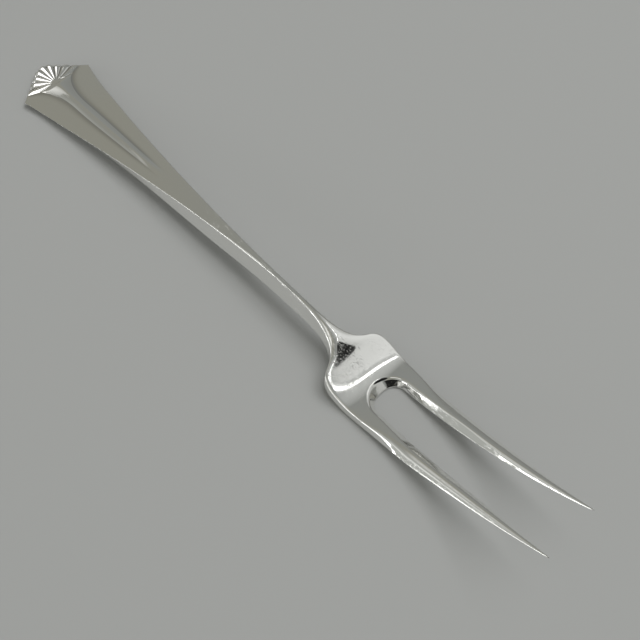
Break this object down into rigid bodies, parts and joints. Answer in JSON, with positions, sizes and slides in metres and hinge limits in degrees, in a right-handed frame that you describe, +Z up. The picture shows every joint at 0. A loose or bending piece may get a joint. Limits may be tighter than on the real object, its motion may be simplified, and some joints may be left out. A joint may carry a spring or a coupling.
{
  "type": "serving fork",
  "caption": "Polished silver serving fork with long spread tines, a flared handle, a raised rib and a scallop shell on the handle's end.",
  "frame": {"origin": "middle of the fork's length and width, on the table it lies on", "axes": "+X from the shell to the tine points, +Y to the left tine, +Z up, the side the tines curve to"},
  "size_m": [0.172, 0.0196, 0.0152],
  "materials": {
    "silver": "mirror-polished silver with fine wear scratches"
  },
  "bodies": {
    "root": {"shell": "silver", "handle": "silver", "handle_rib": "silver", "shank": "silver", "neck": "silver", "root": "silver", "left_tine": "silver", "right_tine": "silver"}
  },
  "joints": []
}
